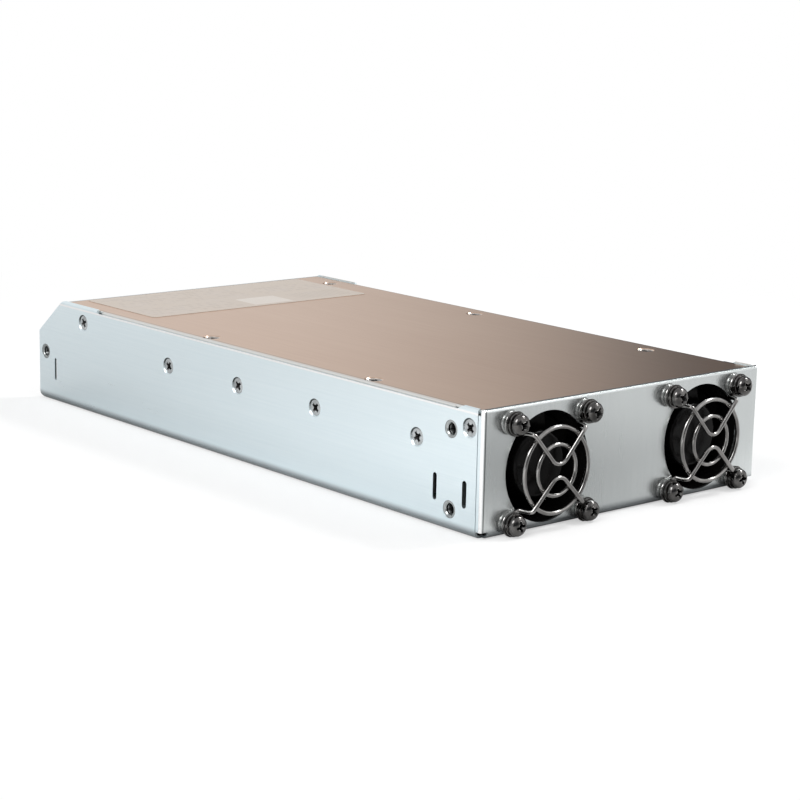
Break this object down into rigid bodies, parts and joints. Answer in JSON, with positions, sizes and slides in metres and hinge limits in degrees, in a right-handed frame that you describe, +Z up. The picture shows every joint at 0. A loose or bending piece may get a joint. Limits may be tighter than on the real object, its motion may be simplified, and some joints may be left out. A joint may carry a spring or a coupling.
{
  "type": "power supply",
  "caption": "Slim folded sheet-metal switching power supply with a flush screwed cover, guarded cooling fans in the front face and terminals between mounting ears.",
  "frame": {"origin": "centre of the underside of the case, halfway between the fan panel and the ends of the ears", "axes": "+X across the width to the right seen from the fans, +Y along the length from the fan end to the wiring end, +Z up"},
  "size_m": [0.127, 0.2662, 0.0412],
  "materials": {
    "case_steel": "zinc-plated sheet, fine grain, satin",
    "cover_steel": "plated sheet, satin, warm tone",
    "label_film": "bare matt label film",
    "nickel_screws": "bright nickel plating",
    "insert_steel": "zinc plating",
    "black_nickel": "polished black nickel",
    "fan_plastic": "black glass-filled moulding",
    "magnet_ferrite": "bonded ferrite",
    "core_ferrite": "sintered ferrite",
    "bearing_steel": "ground steel",
    "stator_steel": "laminated steel",
    "copper_wire": "enamelled copper wire",
    "board_laminate": "green solder mask",
    "heatsink_aluminium": "extruded, natural",
    "moulded_black": "moulded epoxy and nylon",
    "moulded_white": "moulded nylon",
    "can_sleeve": "shrink sleeve",
    "film_box": "yellow potted box",
    "fuse_glass": "ceramic tube and plated caps",
    "liner_film": "polyester film",
    "copper_bar": "bare copper bar"
  },
  "bodies": {
    "enclosure": {"bar_nuts": "nickel_screws", "bar_screws": "nickel_screws", "board_screws": "nickel_screws", "board_standoffs": "insert_steel", "boost_choke_core": "core_ferrite", "boost_choke_winding": "copper_wire", "bridge_rectifier": "moulded_black", "bulk_capacitors": "can_sleeve", "chassis_tray": "case_steel", "control_board": "board_laminate", "cover_screws": "nickel_screws", "fan_bearings": "bearing_steel", "fan_coils": "copper_wire", "fan_frame_left": "fan_plastic", "fan_frame_right": "fan_plastic", "fan_headers": "moulded_white", "fan_screws": "black_nickel", "fan_stators": "stator_steel", "film_capacitors": "film_box", "finger_guard_left": "black_nickel", "finger_guard_right": "black_nickel", "flat_washers": "black_nickel", "floor_liner": "liner_film", "heatsink_left": "heatsink_aluminium", "heatsink_right": "heatsink_aluminium", "line_choke_core": "core_ferrite", "line_choke_winding": "copper_wire", "line_fuse": "fuse_glass", "main_board": "board_laminate", "mounting_inserts": "insert_steel", "output_bars": "copper_bar", "output_capacitors": "can_sleeve", "output_choke_core": "core_ferrite", "output_choke_winding": "copper_wire", "output_rectifiers": "moulded_black", "power_transistors": "moulded_black", "rating_label": "label_film", "rear_panel": "case_steel", "relay": "moulded_black", "side_screws": "nickel_screws", "signal_connector": "moulded_white", "spring_washers": "black_nickel", "terminal_block": "moulded_black", "terminal_screws": "nickel_screws", "top_cover": "cover_steel", "transformer_bobbin": "moulded_black", "transformer_core": "core_ferrite", "transformer_winding": "copper_wire"},
    "fan_rotor_left": {"fan_impeller_left": "fan_plastic", "fan_magnet_left": "magnet_ferrite", "fan_shaft_left": "bearing_steel"},
    "fan_rotor_right": {"fan_impeller_right": "fan_plastic", "fan_magnet_right": "magnet_ferrite", "fan_shaft_right": "bearing_steel"}
  },
  "joints": [
    {"name": "left_fan_spin", "type": "hinge", "parent": "enclosure", "child": "fan_rotor_left", "pos_m": [-0.0358, -0.12, 0.0198], "axis": [0, 1, 0], "continuous": true},
    {"name": "right_fan_spin", "type": "hinge", "parent": "enclosure", "child": "fan_rotor_right", "pos_m": [0.0358, -0.12, 0.0198], "axis": [0, 1, 0], "continuous": true}
  ]
}
